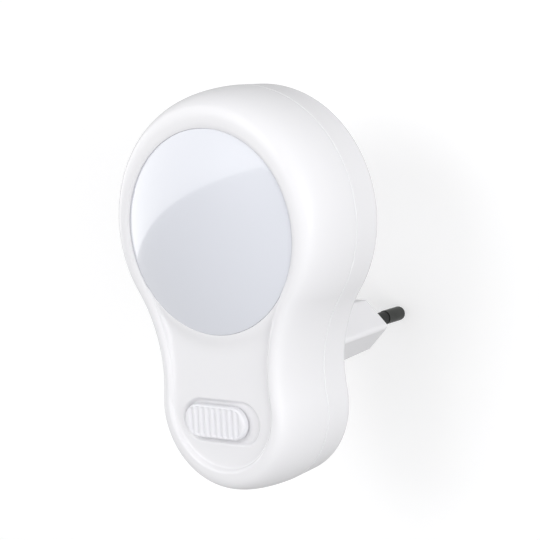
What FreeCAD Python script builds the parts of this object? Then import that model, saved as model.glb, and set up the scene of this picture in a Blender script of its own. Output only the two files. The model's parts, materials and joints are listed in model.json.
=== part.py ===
import FreeCAD, Part
import math
import os
import Sketcher

# Plug-in night light: a bulb-shaped housing with an opal lens and a slide switch,
# carried by a two-pin mains plug moulded into its back.
# Millimetres. +Z is up, the front faces -Y and the wall is at +Y.
# The origin is the centre of the plug's contact face, between the two pins.

doc = FreeCAD.newDocument("NightLight")
sheet = doc.addObject("Spreadsheet::Sheet", "Sizes")

# Driving dimensions, in millimetres unless the note says otherwise
dimensions = [
    # plug
    ("stubWidth", 35.8, "plug stub across its pointed sides, at the contact face"),
    ("stubHeight", 13.7, "plug stub height at the contact face"),
    ("stubLength", 24.5, "contact face to the back of the housing"),
    ("stubFlare", 1.45, "growth of each side of the stub at its root"),
    ("stubWall", 2.0, "wall of the hollow stub"),
    ("stubEndWall", 2.5, "end wall that the pins pass through"),
    ("stubSideRound", 1.2, "rounding of the stub's long edges"),
    ("stubEndBevel", 0.7, "bevel around the stub's end"),
    ("pinSpacing", 18.6, "distance between the pin axes"),
    ("pinDiameter", 4.0, "bare contact part of a pin"),
    ("pinLength", 18.5, "pin in front of the contact face"),
    ("pinTipRound", 1.5, "rounding of the pin's tip"),
    ("pinCoreDiameter", 3.0, "pin inside its sleeve"),
    ("sleeveDiameter", 3.6, "insulating sleeve on the pin"),
    ("sleeveLength", 10.0, "sleeve in front of the contact face"),
    ("collarDiameter", 6.4, "collar that holds the pin behind the end wall"),
    ("collarThickness", 1.5, "thickness of that collar"),
    ("pinTailLength", 4.0, "pin behind its carrier"),
    ("carrierDepth", 6.0, "insulating carrier behind the collars"),
    ("contactThickness", 0.5, "brass contact strip"),
    ("contactWidth", 4.0, "width of the contact strip"),
    ("contactFoot", 5.0, "foot of the strip on the circuit board"),
    # housing
    ("wall", 2.0, "wall of both shells"),
    ("seamTopRadius", 34.35, "top lobe of the housing at the seam"),
    ("seamTopHeight", 34.6, "centre of that lobe above the plug axis"),
    ("seamBottomRadius", 22.0, "bottom lobe of the housing at the seam"),
    ("seamBottomDrop", 15.0, "centre of that lobe below the plug axis"),
    ("seamWaistRadius", 35.4, "hollow side between the lobes at the seam"),
    ("backDepth", 11.35, "depth of the back shell"),
    ("backDraft", 0.6, "inset of the back shell's outline at its back"),
    ("backRound", 2.2, "rounding of the back shell's rear edge"),
    ("frontDepth", 17.55, "seam to the crest of the front rim"),
    ("frontInset", 1.4, "inset of the front shell's outline at the crest"),
    ("frontRound", 3.8, "rounding of the front edge"),
    ("seamBevel", 0.3, "bevel on each side of the seam"),
    ("tongueHeight", 1.6, "tongue of the back shell inside the front shell"),
    ("tongueGap", 0.1, "clearance around that tongue"),
    # recessed front panel
    ("panelTopRadius", 26.65, "top lobe of the recessed panel"),
    ("panelTopHeight", 32.6, "centre of that lobe and of the lens"),
    ("panelBottomRadius", 16.4, "bottom lobe of the recessed panel"),
    ("panelBottomDrop", 13.25, "centre of that lobe below the plug axis"),
    ("panelWaistRadius", 45.9, "hollow side of the panel"),
    ("panelRecess", 1.2, "rim crest to the panel at its crown"),
    ("panelCrownRadius", 300.0, "crown of the panel, seen from the side"),
    ("panelBack", 4.1, "rim crest to the flat inner face behind the panel"),
    ("rimBevel", 0.6, "bevel of the rim's inner edge"),
    ("railWall", 1.2, "guide rails above and below the clip plate"),
    # lens and reflector
    ("lensGap", 0.15, "clearance around the lens"),
    ("lensDome", 5.0, "rise of the lens above the rim crest"),
    ("lensWall", 1.6, "wall of the lens"),
    ("lensFlange", 1.6, "width of the flange that holds the lens"),
    ("flangeThickness", 1.2, "thickness of the lens and reflector flanges"),
    ("dishFloorRadius", 15.0, "flat floor of the reflector"),
    ("dishWall", 1.2, "wall of the reflector"),
    ("lampGap", 0.2, "clearance around a lamp in the reflector"),
    # circuit board
    ("boardFront", 3.75, "seam to the front face of the circuit board"),
    ("boardThickness", 1.6, "circuit board"),
    ("boardTopRadius", 25.0, "top lobe of the circuit board"),
    ("boardBottomRadius", 14.5, "bottom lobe of the circuit board"),
    ("boardWaistRadius", 60.0, "hollow side of the circuit board"),
    ("boardScrewSpan", 22.0, "distance between the board screws"),
    ("boardScrewDrop", 7.5, "board screws below the plug axis"),
    ("boardScrewDiameter", 2.0, "shank of a board screw"),
    ("boardScrewGrip", 5.0, "board screw inside its post"),
    ("boardHeadDiameter", 3.8, "head of a board screw"),
    ("boardHeadHeight", 1.6, "head of a board screw"),
    ("postDiameter", 5.0, "posts that carry the board"),
    ("restSpan", 30.0, "distance between the back shell's board rests"),
    ("restRise", 15.4, "board rests above the lens axis"),
    # electronics
    ("ledDiameter", 5.0, "lamp body"),
    ("ledFlangeDiameter", 5.8, "flange at the lamp's base"),
    ("ledFlangeHeight", 1.0, "flange at the lamp's base"),
    ("ledHeight", 7.4, "lamp above the board"),
    ("ledEdge", 0.5, "bevel around the lamp's flat top"),
    ("ledRing", 9.0, "lamps from the lens axis"),
    ("ledCount", 4.0, "number of lamps, a plain number"),
    ("leadDiameter", 0.6, "component leads"),
    ("leadSpacing", 2.54, "spacing of a lamp's leads"),
    ("leadStickOut", 1.5, "leads behind the board"),
    ("filmLength", 13.0, "film capacitor"),
    ("filmWidth", 6.0, "film capacitor"),
    ("filmHeight", 9.0, "film capacitor above the board"),
    ("filmDrop", 18.6, "film capacitor below the lens axis"),
    ("filmRound", 0.7, "rounding of the film capacitor's case"),
    ("canDiameter", 8.0, "electrolytic capacitor"),
    ("canLength", 12.0, "electrolytic capacitor"),
    ("canRise", 15.4, "electrolytic capacitor above the lens axis"),
    ("canEdge", 0.5, "bevel around the can's closed end"),
    ("crimpPlace", 2.4, "crimp groove from the can's sealed end"),
    ("crimpWidth", 1.2, "crimp groove at the can's wall"),
    ("crimpDepth", 0.4, "depth of the crimp groove"),
    ("diodeDiameter", 2.7, "rectifier diode"),
    ("diodeLength", 5.2, "rectifier diode"),
    ("resistorDiameter", 3.2, "series resistor"),
    ("resistorLength", 8.6, "series resistor"),
    ("fuseDiameter", 3.8, "fusible resistor"),
    ("fuseLength", 11.0, "fusible resistor"),
    ("fuseDrop", 12.2, "fusible resistor below the lens axis"),
    ("waistShare", 0.85, "waist of a coated resistor over its ends, a plain number"),
    ("capShare", 0.22, "end cap over the length of a coated resistor, a plain number"),
    ("neckShare", 0.08, "taper after the end cap over the length, a plain number"),
    ("diodeSpacing", 3.4, "row of diodes"),
    ("resistorSpacing", 4.1, "row of resistors"),
    ("axialStart", 11.6, "first row from the middle plane"),
    ("axialLead", 1.8, "straight lead at each end of a body"),
    ("axialLift", 0.3, "bodies above the back of the board"),
    # switch
    ("switchDrop", 16.7, "switch below the plug axis"),
    ("slideTravel", 3.0, "travel of the knob"),
    ("knobWidth", 20.0, "knob"),
    ("knobHeight", 8.9, "knob"),
    ("knobRise", 1.0, "knob's face in front of the panel's crown"),
    ("knobFloat", 0.25, "gap between the knob and the recess floor"),
    ("knobRound", 0.7, "rounding of the knob's face edge"),
    ("ribPitch", 1.9, "grooves on the knob"),
    ("ribGroove", 0.95, "width of a groove"),
    ("ribDepth", 0.5, "depth of a groove"),
    ("ribBorder", 0.85, "plain border around the grooves"),
    ("ribGrooves", 9.0, "number of grooves, a plain number"),
    ("recessGap", 0.35, "clearance around the knob at the ends of its travel"),
    ("recessDepth", 1.2, "panel's crown to the recess floor"),
    ("recessSlope", 1.2, "slope of the recess wall, seen from the front"),
    ("stemWidth", 6.4, "stem of the knob"),
    ("stemHeight", 3.6, "stem of the knob"),
    ("stemGap", 0.3, "clearance of the stem in its slot"),
    ("stemReach", 3.7, "stem behind the panel's inner face"),
    ("retainerWidth", 13.0, "clip plate behind the panel"),
    ("retainerHeight", 9.0, "clip plate behind the panel"),
    ("retainerThickness", 1.2, "clip plate behind the panel"),
    ("retainerGap", 0.2, "clearance of the clip plate"),
    ("fitGap", 0.05, "snug fit between parts that move together"),
    ("leverWidth", 3.0, "lever of the slide switch"),
    ("leverHeight", 2.6, "lever of the slide switch"),
    ("leverInset", 0.6, "lever's end short of the panel's inner face"),
    ("sliderWidth", 9.0, "slider inside the switch"),
    ("sliderHeight", 5.8, "slider inside the switch"),
    ("sliderThickness", 1.4, "slider inside the switch"),
    ("sliderGap", 0.15, "clearance between the slider and the frame"),
    ("frameWidth", 17.0, "switch frame"),
    ("frameHeight", 7.4, "switch frame"),
    ("frameDepth", 5.2, "switch frame in front of the board"),
    ("frameSheet", 0.5, "sheet metal of the frame"),
    ("baseThickness", 1.6, "phenolic base of the switch"),
    ("terminalPitch", 4.0, "switch terminals"),
    ("terminalWidth", 1.2, "switch terminals"),
    ("terminalRise", 0.4, "contact button on each terminal"),
    ("buttonDiameter", 2.2, "contact button on each terminal"),
    ("wiperSheet", 0.3, "sprung contact under the slider"),
    ("wiperFoot", 1.4, "flat foot of the sprung contact"),
    ("wiperBridge", 1.6, "flat bridge of the sprung contact"),
    # screws
    ("screwInset", 5.6, "housing screws from the top and bottom of the seam"),
    ("screwDiameter", 2.6, "shank of a housing screw"),
    ("screwHeadDiameter", 4.8, "head of a housing screw"),
    ("screwHeadHeight", 2.0, "head of a housing screw"),
    ("headBevelShare", 0.35, "bevel of a head over its height, a plain number"),
    ("headGap", 0.3, "clearance around a screw head"),
    ("screwGrip", 9.0, "screw inside the front shell's boss"),
    ("screwGap", 0.1, "clearance around a screw"),
    ("bossDiameter", 5.2, "boss for a housing screw"),
    ("towerDiameter", 8.2, "back shell tower around a screw head"),
    ("towerFloor", 2.4, "plastic under a screw head"),
    ("cutOver", 2.0, "how far a cutting shape runs past the face that it opens"),
]
for row, (alias, number, note) in enumerate(dimensions, start=1):
    sheet.set("A%d" % row, note)
    sheet.set("B%d" % row, str(number))
    sheet.setAlias("B%d" % row, alias)
doc.recompute()


class Size:
    """A length that carries its number and the sheet expression behind it."""

    def __init__(self, text, value):
        self.text = text
        self.value = float(value)

    def join(self, sign, other, value):
        return Size("(%s %s %s)" % (self.text, sign, other.text), value)

    def __add__(self, other):
        other = asSize(other)
        return self.join("+", other, self.value + other.value)

    def __sub__(self, other):
        other = asSize(other)
        return self.join("-", other, self.value - other.value)

    def __mul__(self, other):
        other = asSize(other)
        return self.join("*", other, self.value * other.value)

    def __truediv__(self, other):
        other = asSize(other)
        return self.join("/", other, self.value / other.value)

    def __neg__(self):
        return Size("(0 - %s)" % self.text, -self.value)

    def __pow__(self, other):
        other = asSize(other)
        return self.join("^", other, self.value ** other.value)


def asSize(number):
    """A plain number or a Size, as a Size."""
    if isinstance(number, Size):
        return number
    return Size("(%.9g)" % number if number < 0 else "%.9g" % number, number)


def root(size):
    """Square root of a Size."""
    return Size("sqrt(%s)" % size.text, math.sqrt(size.value))


class Sizes:
    """The sheet's aliases as attributes."""

    def __getattr__(self, alias):
        return Size("Sizes." + alias, sheet.get(alias))


d = Sizes()
zero = asSize(0)

# Distances in front of the contact face
backFace = d.stubLength
seam = d.stubLength + d.backDepth
crest = seam + d.frontDepth
panelCrown = crest - d.panelRecess
innerFace = crest - d.panelBack
recessFloor = panelCrown - d.recessDepth
boardFace = seam + d.boardFront
boardBack = boardFace - d.boardThickness
switchZ = -d.switchDrop
knobRest = -d.slideTravel / 2


# Sketch helpers

def originPlane(body, role):
    for feature in body.Origin.OriginFeatures:
        if feature.Role == role:
            return feature


def newBody(name):
    body = doc.addObject("PartDesign::Body", name)
    body.Label = name
    body.AllowCompound = True
    return body


def newSketch(body, role, name, out=None, right=None, up=None):
    """A sketch on one of the body's origin planes, moved by up to three sizes."""
    sketch = body.newObject("Sketcher::SketchObject", name)
    sketch.AttachmentSupport = (originPlane(body, role), [""])
    sketch.MapMode = "FlatFace"
    for axis, size in (("z", out), ("x", right), ("y", up)):
        if size is not None:
            sketch.setExpression("AttachmentOffset.Base." + axis, size.text)
    return sketch


def frontSketch(body, name, forward, right=None, up=None):
    """A sketch seen from the front, at a distance in front of the contact face."""
    return newSketch(body, "XZ_Plane", name, forward, right, up)


def hold(sketch, kind, *parts):
    """Adds a constraint; a Size at the end drives it."""
    size = parts[-1] if isinstance(parts[-1], Size) else None
    if size is None:
        return sketch.addConstraint(Sketcher.Constraint(kind, *parts))
    index = sketch.addConstraint(Sketcher.Constraint(kind, *parts[:-1], size.value))
    sketch.setExpression("Constraints[%d]" % index, size.text)
    return index


def holdPoint(sketch, geometry, end, x, y):
    """Fixes a point at (x, y) from the sketch's origin."""
    if x is zero:
        hold(sketch, "PointOnObject", geometry, end, -2)
    else:
        hold(sketch, "DistanceX", -1, 1, geometry, end, x)
    if y is zero:
        hold(sketch, "PointOnObject", geometry, end, -1)
    else:
        hold(sketch, "DistanceY", -1, 1, geometry, end, y)


def vector(x, y):
    return FreeCAD.Vector(x.value, y.value, 0)


def drawOutline(sketch, points):
    """Closed outline of straight lines through (x, y) sizes."""
    first = sketch.GeometryCount
    count = len(points)
    for i in range(count):
        sketch.addGeometry(Part.LineSegment(vector(*points[i]), vector(*points[(i + 1) % count])))
    for i in range(count):
        hold(sketch, "Coincident", first + i, 2, first + (i + 1) % count, 1)
    for i, (x, y) in enumerate(points):
        holdPoint(sketch, first + i, 1, x, y)


def drawBox(sketch, x, y, width, height):
    """Rectangle centred at (x, y)."""
    left, right = x - width / 2, x + width / 2
    low, high = y - height / 2, y + height / 2
    drawOutline(sketch, [(left, low), (right, low), (right, high), (left, high)])


def drawCircle(sketch, x, y, diameter):
    centre = vector(x, y)
    index = sketch.addGeometry(Part.Circle(centre, FreeCAD.Vector(0, 0, 1), diameter.value / 2))
    holdPoint(sketch, index, 3, x, y)
    hold(sketch, "Diameter", index, diameter)


def drawStadium(sketch, x, y, width, height):
    """A slot shape centred at (x, y), round at its left and right ends."""
    radius = height / 2
    left, right = x - width / 2 + radius, x + width / 2 - radius
    low, high = y - radius, y + radius
    axis = FreeCAD.Vector(0, 0, 1)
    rightCircle = Part.Circle(vector(right, y), axis, radius.value)
    leftCircle = Part.Circle(vector(left, y), axis, radius.value)
    quarter = math.pi / 2
    first = sketch.GeometryCount
    sketch.addGeometry(Part.LineSegment(vector(left, low), vector(right, low)))
    sketch.addGeometry(Part.ArcOfCircle(rightCircle, -quarter, quarter))
    sketch.addGeometry(Part.LineSegment(vector(right, high), vector(left, high)))
    sketch.addGeometry(Part.ArcOfCircle(leftCircle, quarter, 3 * quarter))
    hold(sketch, "Tangent", first, 2, first + 1, 1)
    hold(sketch, "Tangent", first + 1, 2, first + 2, 1)
    hold(sketch, "Tangent", first + 2, 2, first + 3, 1)
    hold(sketch, "Tangent", first + 3, 2, first, 1)
    hold(sketch, "Horizontal", first)
    hold(sketch, "Radius", first + 1, radius)
    holdPoint(sketch, first + 1, 3, right, y)
    hold(sketch, "DistanceX", -1, 1, first + 3, 3, left)


class Bulb:
    """Outline of two round lobes joined by hollow sides, as five sizes."""

    def __init__(self, topRadius, topZ, bottomRadius, bottomZ, waistRadius):
        self.parts = (topRadius, topZ, bottomRadius, bottomZ, waistRadius)

    def grown(self, offset):
        top, topZ, bottom, bottomZ, waist = self.parts
        return Bulb(top + offset, topZ, bottom + offset, bottomZ, waist - offset)


def drawBulb(sketch, bulb):
    """Six tangent arcs: each lobe is split at the middle plane."""
    top, topZ, bottom, bottomZ, waist = bulb.parts
    reachTop = top.value + waist.value
    reachBottom = bottom.value + waist.value
    span = topZ.value - bottomZ.value
    rise = (reachBottom ** 2 - reachTop ** 2 + span ** 2) / (2 * span)
    out = math.sqrt(reachBottom ** 2 - rise ** 2)
    waistZ = bottomZ.value + rise
    topTurn = math.atan2(waistZ - topZ.value, out)
    bottomTurn = math.atan2(waistZ - bottomZ.value, out)
    pi = math.pi
    axis = FreeCAD.Vector(0, 0, 1)

    def arc(x, y, radius, start, end):
        circle = Part.Circle(FreeCAD.Vector(x, y, 0), axis, radius)
        return sketch.addGeometry(Part.ArcOfCircle(circle, start, end))

    topRight = arc(0, topZ.value, top.value, topTurn, pi / 2)
    topLeft = arc(0, topZ.value, top.value, pi / 2, pi - topTurn)
    waistLeft = arc(-out, waistZ, waist.value, -bottomTurn, -topTurn)
    bottomLeft = arc(0, bottomZ.value, bottom.value, pi - bottomTurn, 3 * pi / 2)
    bottomRight = arc(0, bottomZ.value, bottom.value, -pi / 2, bottomTurn)
    waistRight = arc(out, waistZ, waist.value, pi + topTurn, pi + bottomTurn)
    hold(sketch, "Tangent", topRight, 2, topLeft, 1)
    hold(sketch, "Tangent", topLeft, 2, waistLeft, 2)
    hold(sketch, "Tangent", waistLeft, 1, bottomLeft, 1)
    hold(sketch, "Tangent", bottomLeft, 2, bottomRight, 1)
    hold(sketch, "Tangent", bottomRight, 2, waistRight, 2)
    hold(sketch, "Tangent", waistRight, 1, topRight, 1)
    hold(sketch, "Equal", topRight, topLeft)
    hold(sketch, "Equal", bottomRight, bottomLeft)
    hold(sketch, "Equal", waistRight, waistLeft)
    hold(sketch, "PointOnObject", topRight, 2, -2)
    hold(sketch, "PointOnObject", bottomLeft, 2, -2)
    hold(sketch, "PointOnObject", topRight, 3, -2)
    hold(sketch, "PointOnObject", bottomRight, 3, -2)
    hold(sketch, "DistanceY", -1, 1, topRight, 3, topZ)
    hold(sketch, "DistanceY", -1, 1, bottomRight, 3, bottomZ)
    hold(sketch, "Radius", topRight, top)
    hold(sketch, "Radius", bottomRight, bottom)
    hold(sketch, "Radius", waistRight, waist)


def drawStub(sketch, grow):
    """Six-sided outline of the plug stub with 45 degree flanks."""
    halfHeight = d.stubHeight / 2 + grow
    halfWidth = d.stubWidth / 2 + grow * root(asSize(2))
    flat = halfWidth - halfHeight
    drawOutline(sketch, [(-halfWidth, zero), (-flat, -halfHeight), (flat, -halfHeight),
                         (halfWidth, zero), (flat, halfHeight), (-flat, halfHeight)])


# Feature helpers

def finish(body, feature):
    """Makes the feature the body's result."""
    doc.recompute()
    body.Tip = feature
    return feature


def pad(body, sketch, length, back=False, middle=False):
    feature = body.newObject("PartDesign::Pad", sketch.Name + "Pad")
    feature.Profile = sketch
    feature.setExpression("Length", length.text)
    feature.Reversed = back
    feature.Midplane = middle
    sketch.Visibility = False
    return finish(body, feature)


def pocket(body, sketch, length, forward=False, middle=False):
    before = body.Shape.Volume
    feature = body.newObject("PartDesign::Pocket", sketch.Name + "Pocket")
    feature.Profile = sketch
    feature.setExpression("Length", length.text)
    feature.Reversed = forward
    feature.Midplane = middle
    finish(body, feature)
    if feature.Shape.Volume >= before:
        raise ValueError(sketch.Name + " cuts nothing")
    return feature


def loft(body, sketches, cut=False, ruled=False):
    kind = "PartDesign::SubtractiveLoft" if cut else "PartDesign::AdditiveLoft"
    feature = body.newObject(kind, sketches[0].Name + "Loft")
    feature.Profile = sketches[0]
    feature.Sections = sketches[1:]
    feature.Ruled = ruled
    return finish(body, feature)


def revolve(body, sketch, axis, name=None):
    feature = body.newObject("PartDesign::Revolution", name or sketch.Name + "Turn")
    feature.Profile = sketch
    feature.ReferenceAxis = (sketch, [axis])
    feature.Angle = 360
    return finish(body, feature)


def fillet(body, size, wanted, name):
    """Rounds the edges that the test picks."""
    return dress(body, "Fillet", "Radius", size, wanted, name)


def chamfer(body, size, wanted, name):
    """Bevels the edges that the test picks."""
    return dress(body, "Chamfer", "Size", size, wanted, name)


def dress(body, kind, amount, size, wanted, name):
    base = body.Tip
    edges = ["Edge%d" % (i + 1) for i, edge in enumerate(base.Shape.Edges) if wanted(edge)]
    if not edges:
        raise ValueError(name + " finds no edge")
    feature = body.newObject("PartDesign::" + kind, name)
    feature.Base = (base, edges)
    feature.setExpression(amount, size.text)
    return finish(body, feature)


def combine(body, tool, kind, name):
    """Adds (Fuse) or takes away (Cut) another body's solid."""
    feature = body.newObject("PartDesign::Boolean", name)
    feature.setObjects([tool])
    feature.Type = kind
    return finish(body, feature)


def liesAt(edge, forward):
    """True for an edge that lies whole in the plane at this distance in front."""
    box = edge.BoundBox
    return abs(box.YMin + forward.value) < 0.001 and abs(box.YMax + forward.value) < 0.001


# Outlines shared by both shells
seamBulb = Bulb(d.seamTopRadius, d.seamTopHeight, d.seamBottomRadius,
                -d.seamBottomDrop, d.seamWaistRadius)
panelBulb = Bulb(d.panelTopRadius, d.panelTopHeight, d.panelBottomRadius,
                 -d.panelBottomDrop, d.panelWaistRadius)


def drawScrewCircles(sketch, diameter):
    top = d.seamTopHeight + d.seamTopRadius
    bottom = -(d.seamBottomDrop + d.seamBottomRadius)
    drawCircle(sketch, zero, top - d.screwInset, diameter)
    drawCircle(sketch, zero, bottom + d.screwInset, diameter)


def makeFrontShell():
    """Deep moulded shell: rounded front, recessed crowned panel, switch recess, bosses."""
    cutter = doc.addObject("PartDesign::Body", "panel_space")
    face = frontSketch(cutter, "PanelFace", crest + d.cutOver)
    drawBulb(face, panelBulb)
    pad(cutter, face, d.cutOver + d.panelBack, back=True)
    crown = newSketch(cutter, "YZ_Plane", "PanelCrown")
    drawCrown(crown)
    pocket(cutter, crown, d.seamTopRadius * 2, middle=True)
    hole = frontSketch(cutter, "LensHole", crest + d.cutOver)
    drawCircle(hole, zero, d.panelTopHeight, d.panelTopRadius * 2)
    pad(cutter, hole, d.panelBack + d.cutOver * 2, back=True)

    body = newBody("front_shell")
    bevel = frontSketch(body, "FrontSeam", seam)
    drawBulb(bevel, seamBulb.grown(-d.seamBevel))
    side = frontSketch(body, "FrontSide", seam + d.seamBevel)
    drawBulb(side, seamBulb)
    front = frontSketch(body, "FrontFace", crest)
    drawBulb(front, seamBulb.grown(-d.frontInset))
    loft(body, [bevel, side, front], ruled=True)
    fillet(body, d.frontRound, lambda edge: liesAt(edge, crest), "FrontRound")

    mouth = frontSketch(body, "FrontMouth", seam)
    drawBulb(mouth, seamBulb.grown(-d.wall))
    bottom = frontSketch(body, "FrontInside", innerFace)
    lean = d.frontInset * (innerFace - seam) / d.frontDepth
    drawBulb(bottom, seamBulb.grown(-(d.wall + lean)))
    loft(body, [mouth, bottom], cut=True, ruled=True)

    combine(body, cutter, "Cut", "PanelOpening")

    rebate = frontSketch(body, "TongueRebate", seam)
    drawBulb(rebate, seamBulb.grown(-d.wall / 2))
    pocket(body, rebate, d.tongueHeight + d.tongueGap, forward=True)

    low = frontSketch(body, "RecessFloor", recessFloor)
    width = d.knobWidth + d.slideTravel + d.recessGap * 2
    height = d.knobHeight + d.recessGap * 2
    drawStadium(low, zero, switchZ, width, height)
    high = frontSketch(body, "RecessEdge", panelCrown + d.cutOver)
    spread = d.recessSlope * 2 * (d.recessDepth + d.cutOver) / d.recessDepth
    drawStadium(high, zero, switchZ, width + spread, height + spread)
    loft(body, [low, high], cut=True, ruled=True)

    slot = frontSketch(body, "StemSlot", recessFloor)
    slotWidth = d.stemWidth + d.slideTravel + d.stemGap * 2
    drawBox(slot, zero, switchZ, slotWidth, d.stemHeight + d.stemGap * 2)
    pocket(body, slot, d.panelBack)

    rails = frontSketch(body, "KnobRails", innerFace)
    railZ = d.retainerHeight / 2 + d.recessGap + d.railWall / 2
    railLength = d.retainerWidth + d.slideTravel + d.recessGap * 2
    for z in (switchZ - railZ, switchZ + railZ):
        drawBox(rails, zero, z, railLength, d.railWall)
    pad(body, rails, d.retainerThickness + d.retainerGap * 2, back=True)

    bosses = frontSketch(body, "ScrewBosses", innerFace)
    drawScrewCircles(bosses, d.bossDiameter)
    pad(body, bosses, innerFace - seam - d.tongueHeight, back=True)
    bossHoles = frontSketch(body, "BossHoles", seam + d.tongueHeight)
    drawScrewCircles(bossHoles, d.screwDiameter + d.screwGap * 2)
    pocket(body, bossHoles, d.screwGrip + d.screwGap, forward=True)

    posts = frontSketch(body, "BoardPosts", innerFace)
    drawBoardScrews(posts, d.postDiameter)
    pad(body, posts, innerFace - boardFace, back=True)
    postHoles = frontSketch(body, "PostHoles", boardFace)
    drawBoardScrews(postHoles, d.boardScrewDiameter + d.screwGap * 2)
    pocket(body, postHoles, d.boardScrewGrip, forward=True)
    chamfer(body, d.rimBevel, onPanelEdge, "RimBevel")
    return body


def onPanelEdge(edge):
    """True for an edge of the recessed panel at the crest: a lobe's, or a hollow side's."""
    if not liesAt(edge, crest) or not isinstance(edge.Curve, Part.Circle):
        return False
    wanted = (d.panelTopRadius, d.panelBottomRadius, d.panelWaistRadius)
    return min(abs(edge.Curve.Radius - size.value) for size in wanted) < 0.001


def drawCrown(sketch):
    """Region behind the crowned panel surface, seen from the side."""
    top = d.panelTopHeight + d.panelTopRadius + d.cutOver
    low = -(d.panelBottomDrop + d.panelBottomRadius + d.cutOver)
    centre = -(panelCrown - d.panelCrownRadius)
    rear = -(innerFace - d.cutOver)
    ends = []
    for z in (low, top):
        rise = z - switchZ
        ends.append((centre - root(d.panelCrownRadius ** 2 - rise ** 2), z))
    circle = Part.Circle(vector(centre, switchZ), FreeCAD.Vector(0, 0, 1), d.panelCrownRadius.value)
    angles = [math.atan2(y.value - switchZ.value, x.value - centre.value) for x, y in ends]
    start = angles[1] % (2 * math.pi)
    end = angles[0] % (2 * math.pi)
    arc = sketch.addGeometry(Part.ArcOfCircle(circle, start, end))
    corners = [ends[0], (rear, low), (rear, top), ends[1]]
    for i in range(3):
        sketch.addGeometry(Part.LineSegment(vector(*corners[i]), vector(*corners[i + 1])))
    hold(sketch, "Coincident", arc, 2, arc + 1, 1)
    hold(sketch, "Coincident", arc + 1, 2, arc + 2, 1)
    hold(sketch, "Coincident", arc + 2, 2, arc + 3, 1)
    hold(sketch, "Coincident", arc + 3, 2, arc, 1)
    holdPoint(sketch, arc, 3, centre, switchZ)
    hold(sketch, "Radius", arc, d.panelCrownRadius)
    holdPoint(sketch, arc + 2, 1, rear, low)
    holdPoint(sketch, arc + 2, 2, rear, top)
    hold(sketch, "DistanceY", -1, 1, arc, 2, low)
    hold(sketch, "DistanceY", -1, 1, arc, 1, top)


def drawBoardScrews(sketch, diameter):
    for x in (-d.boardScrewSpan / 2, d.boardScrewSpan / 2):
        drawCircle(sketch, x, -d.boardScrewDrop, diameter)


def makeStubForm():
    """Outer form of the plug stub: it widens towards the housing."""
    form = doc.addObject("PartDesign::Body", "stub_form")
    end = frontSketch(form, "StubEnd", zero)
    drawStub(end, zero)
    foot = frontSketch(form, "StubRoot", backFace + d.wall / 2)
    drawStub(foot, d.stubFlare)
    loft(form, [end, foot], ruled=True)
    fillet(form, d.stubSideRound, lambda edge: not liesAt(edge, zero)
           and not liesAt(edge, backFace + d.wall / 2), "StubFlanks")
    chamfer(form, d.stubEndBevel, lambda edge: liesAt(edge, zero), "StubEndEdge")
    return form


def makeBackShell():
    """Shallow shell with the hollow plug stub, screw towers and board rests."""
    stub = makeStubForm()
    body = newBody("back_shell")
    bevel = frontSketch(body, "BackSeam", seam)
    drawBulb(bevel, seamBulb.grown(-d.seamBevel))
    wide = frontSketch(body, "BackSide", seam - d.seamBevel)
    drawBulb(wide, seamBulb)
    narrow = frontSketch(body, "BackFace", backFace)
    drawBulb(narrow, seamBulb.grown(-d.backDraft))
    loft(body, [bevel, wide, narrow], ruled=True)
    fillet(body, d.backRound, lambda edge: liesAt(edge, backFace), "BackRound")

    tongue = frontSketch(body, "Tongue", seam)
    drawBulb(tongue, seamBulb.grown(-(d.wall / 2 + d.tongueGap)))
    pad(body, tongue, d.tongueHeight)

    combine(body, stub, "Fuse", "StubJoin")

    hollow = frontSketch(body, "BackHollow", seam + d.tongueHeight)
    drawBulb(hollow, seamBulb.grown(-d.wall))
    pocket(body, hollow, d.backDepth + d.tongueHeight - d.wall)

    stubInner = frontSketch(body, "StubInner", d.stubEndWall)
    drawStub(stubInner, -d.stubWall)
    stubMouth = frontSketch(body, "StubMouth", backFace + d.wall)
    drawStub(stubMouth, d.stubFlare - d.stubWall)
    loft(body, [stubInner, stubMouth], cut=True, ruled=True)

    pinHoles = frontSketch(body, "PinHoles", d.stubEndWall)
    for x in (-d.pinSpacing / 2, d.pinSpacing / 2):
        drawCircle(pinHoles, x, zero, d.sleeveDiameter + d.fitGap * 2)
    pocket(body, pinHoles, d.stubEndWall)

    towers = frontSketch(body, "ScrewTowers", backFace + d.wall / 2)
    drawScrewCircles(towers, d.towerDiameter)
    pad(body, towers, d.backDepth - d.wall / 2)
    necks = frontSketch(body, "ScrewNecks", seam)
    drawScrewCircles(necks, d.bossDiameter)
    pad(body, necks, d.tongueHeight - d.fitGap)
    headHoles = frontSketch(body, "HeadHoles", seam - d.towerFloor)
    drawScrewCircles(headHoles, d.screwHeadDiameter + d.headGap * 2)
    pocket(body, headHoles, d.backDepth)
    shankHoles = frontSketch(body, "ShankHoles", seam + d.tongueHeight)
    drawScrewCircles(shankHoles, d.screwDiameter + d.screwGap * 2)
    pocket(body, shankHoles, d.backDepth)

    rests = frontSketch(body, "BoardRests", backFace + d.wall / 2)
    for x in (-d.restSpan / 2, d.restSpan / 2):
        drawCircle(rests, x, d.panelTopHeight + d.restRise, d.postDiameter)
    pad(body, rests, boardBack - backFace - d.wall / 2)
    return body


def lensProfile():
    """Half section of the lens as (y, radius) sizes, from the outer apex round."""
    edge = d.panelTopRadius - d.lensGap
    rimInside = edge - d.lensWall
    flangeEdge = edge + d.lensFlange
    outerTop = -(crest + d.lensDome)
    innerTop = -(crest + d.lensDome - d.lensWall)
    return [(outerTop, zero), (-crest, edge), (-innerFace, edge), (-innerFace, flangeEdge),
            (-(innerFace - d.flangeThickness), flangeEdge),
            (-(innerFace - d.flangeThickness), rimInside), (-(crest - d.lensWall), rimInside),
            (innerTop, zero)]


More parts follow.
